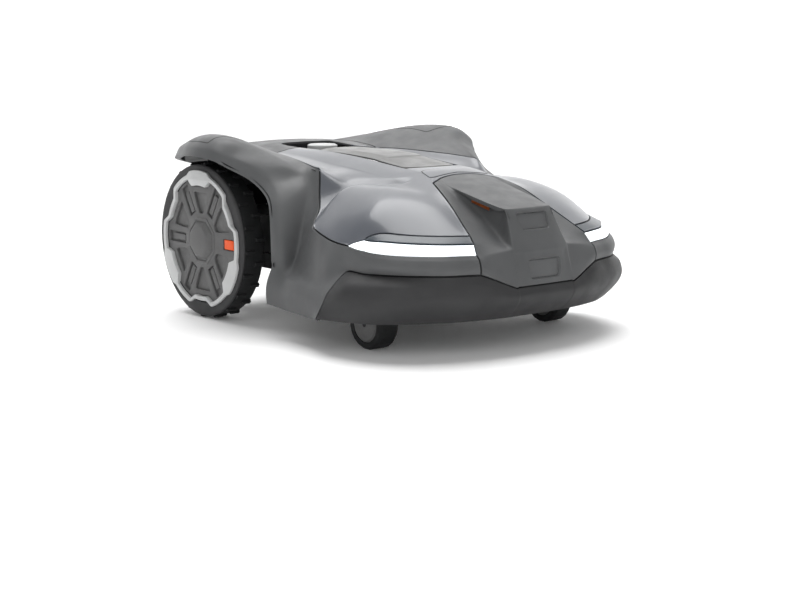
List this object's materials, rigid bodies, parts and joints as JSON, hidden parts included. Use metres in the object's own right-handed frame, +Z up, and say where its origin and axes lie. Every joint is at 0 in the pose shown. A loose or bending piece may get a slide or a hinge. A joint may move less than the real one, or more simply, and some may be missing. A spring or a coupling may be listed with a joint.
{
  "type": "robotic lawn mower",
  "caption": "Self-driving lawn mower with large lugged rear wheels, swivelling front casters, a floating body, a hinged hatch and a height-adjustable blade disc.",
  "frame": {"origin": "on the ground, under the middle of the machine's length and width", "axes": "+Z up, the machine drives towards -Y, +X on the right when looking along +Y"},
  "size_m": [0.5456, 0.685, 0.2971],
  "materials": {
    "body_grey": "fine-grained moulded grey plastic",
    "bumper_grey": "dark matte elastomer-coated plastic",
    "hood_gloss": "glossy blue-grey lacquered plastic",
    "hatch_grey": "satin warm grey plastic",
    "smoked": "dark smoked glossy plastic",
    "light": "white light guide",
    "dark_plastic": "black glass-filled plastic",
    "cover_grey": "mid grey moulded plastic",
    "accent_grey": "light grey satin plastic",
    "orange": "orange plastic insert",
    "tyre": "black rubber",
    "steel": "turned and ground steel",
    "copper": "copper alloy contact",
    "motor_metal": "black coated motor housings and battery case",
    "board": "solder-masked circuit board"
  },
  "bodies": {
    "chassis": {"chassis_tub": "dark_plastic", "chassis_deck": "dark_plastic", "carry_handle": "dark_plastic", "battery_pack": "motor_metal", "main_board": "board", "drive_motor_left": "motor_metal", "drive_motor_right": "motor_metal", "height_motor": "motor_metal"},
    "drive_wheel_left": {"tyre_left": "tyre", "wheel_rim_left": "dark_plastic", "wheel_cover_left": "cover_grey", "wheel_accent_left": "accent_grey", "wheel_marker_left": "orange", "output_shaft_left": "steel"},
    "drive_wheel_right": {"tyre_right": "tyre", "wheel_rim_right": "dark_plastic", "wheel_cover_right": "cover_grey", "wheel_accent_right": "accent_grey", "wheel_marker_right": "orange", "output_shaft_right": "steel"},
    "caster_fork_left": {"caster_fork_left": "dark_plastic"},
    "caster_fork_right": {"caster_fork_right": "dark_plastic"},
    "caster_wheel_left": {"caster_tyre_left": "tyre", "caster_disc_left": "cover_grey"},
    "caster_wheel_right": {"caster_tyre_right": "tyre", "caster_disc_right": "cover_grey"},
    "height_spindle": {"height_spindle": "steel"},
    "cutting_carriage": {"height_carriage": "dark_plastic", "cutting_motor": "motor_metal"},
    "cutting_disc": {"cutting_disc": "cover_grey"},
    "blade_1": {"blade_1": "steel"},
    "blade_2": {"blade_2": "steel"},
    "blade_3": {"blade_3": "steel"},
    "skid_plate": {"skid_plate": "dark_plastic"},
    "float_frame": {"float_post_front_left": "dark_plastic", "float_post_front_right": "dark_plastic", "float_post_rear": "dark_plastic"},
    "outer_body": {"body_side_left": "body_grey", "body_side_right": "body_grey", "headlight_left": "light", "headlight_right": "light", "headlight_trim_left": "smoked", "headlight_trim_right": "smoked", "fender_cap_left": "body_grey", "fender_cap_right": "body_grey", "top_hood": "hood_gloss", "nameplate": "hood_gloss", "front_bumper": "bumper_grey", "nose_housing": "body_grey", "radar_window": "body_grey", "sensor_window": "cover_grey", "charging_contact_left": "copper", "charging_contact_right": "copper", "rear_cover": "body_grey", "control_panel": "dark_plastic", "hatch_pin": "steel"},
    "hatch": {"hatch": "hatch_grey"},
    "start_button": {"start_button": "accent_grey"},
    "park_button": {"park_button": "cover_grey"},
    "stop_button": {"stop_button": "accent_grey"}
  },
  "joints": [
    {"name": "drive_left", "type": "hinge", "parent": "chassis", "child": "drive_wheel_left", "pos_m": [-0.2, 0.207, 0.125], "axis": [1, 0, 0], "continuous": true},
    {"name": "drive_right", "type": "hinge", "parent": "chassis", "child": "drive_wheel_right", "pos_m": [0.2, 0.207, 0.125], "axis": [1, 0, 0], "continuous": true},
    {"name": "caster_swivel_left", "type": "hinge", "parent": "chassis", "child": "caster_fork_left", "pos_m": [-0.178, -0.188, 0.085], "axis": [0, 0, 1], "continuous": true},
    {"name": "caster_swivel_right", "type": "hinge", "parent": "chassis", "child": "caster_fork_right", "pos_m": [0.178, -0.188, 0.085], "axis": [0, 0, 1], "continuous": true},
    {"name": "caster_roll_left", "type": "hinge", "parent": "caster_fork_left", "child": "caster_wheel_left", "pos_m": [-0.178, -0.166, 0.037], "axis": [1, 0, 0], "continuous": true},
    {"name": "caster_roll_right", "type": "hinge", "parent": "caster_fork_right", "child": "caster_wheel_right", "pos_m": [0.178, -0.166, 0.037], "axis": [1, 0, 0], "continuous": true},
    {"name": "height_spindle_turn", "type": "hinge", "parent": "chassis", "child": "height_spindle", "pos_m": [0, 0.092, 0.12], "axis": [0, 0, 1], "range_deg": [0, 1800]},
    {"name": "cutting_height", "type": "slide", "parent": "chassis", "child": "cutting_carriage", "axis": [0, 0, 1], "range_m": [0, 0.04]},
    {"name": "disc_spin", "type": "hinge", "parent": "cutting_carriage", "child": "cutting_disc", "pos_m": [0, 0.02, 0.03], "axis": [0, 0, 1], "continuous": true},
    {"name": "blade_1_swing", "type": "hinge", "parent": "cutting_disc", "child": "blade_1", "pos_m": [0, 0.118, 0.025], "axis": [0, 0, 1], "range_deg": [-100, 100]},
    {"name": "blade_2_swing", "type": "hinge", "parent": "cutting_disc", "child": "blade_2", "pos_m": [-0.08487, -0.029, 0.025], "axis": [0, 0, 1], "range_deg": [-100, 100]},
    {"name": "blade_3_swing", "type": "hinge", "parent": "cutting_disc", "child": "blade_3", "pos_m": [0.08487, -0.029, 0.025], "axis": [0, 0, 1], "range_deg": [-100, 100]},
    {"name": "skid_spin", "type": "hinge", "parent": "cutting_disc", "child": "skid_plate", "pos_m": [0, 0.02, 0.016], "axis": [0, 0, 1], "continuous": true},
    {"name": "body_shift", "type": "slide", "parent": "chassis", "child": "float_frame", "axis": [0, 1, 0], "range_m": [-0.005, 0.005], "stiffness_N_per_m": 4000},
    {"name": "body_lift", "type": "slide", "parent": "float_frame", "child": "outer_body", "axis": [0, 0, 1], "range_m": [0, 0.008]},
    {"name": "hatch_hinge", "type": "hinge", "parent": "outer_body", "child": "hatch", "pos_m": [0, 0.142, 0.26], "axis": [-1, 0, 0], "range_deg": [0, 95]},
    {"name": "start_press", "type": "slide", "parent": "outer_body", "child": "start_button", "axis": [0, 0, -1], "range_m": [0, 0.0015], "stiffness_N_per_m": 500},
    {"name": "park_press", "type": "slide", "parent": "outer_body", "child": "park_button", "axis": [0, 0, -1], "range_m": [0, 0.0015], "stiffness_N_per_m": 500},
    {"name": "stop_press", "type": "slide", "parent": "outer_body", "child": "stop_button", "axis": [0, 0, -1], "range_m": [0, 0.004], "stiffness_N_per_m": 1500}
  ],
  "couplings": [
    {"joint": "height_spindle_turn", "follows": "cutting_height", "rad_per_m": 785.4}
  ]
}
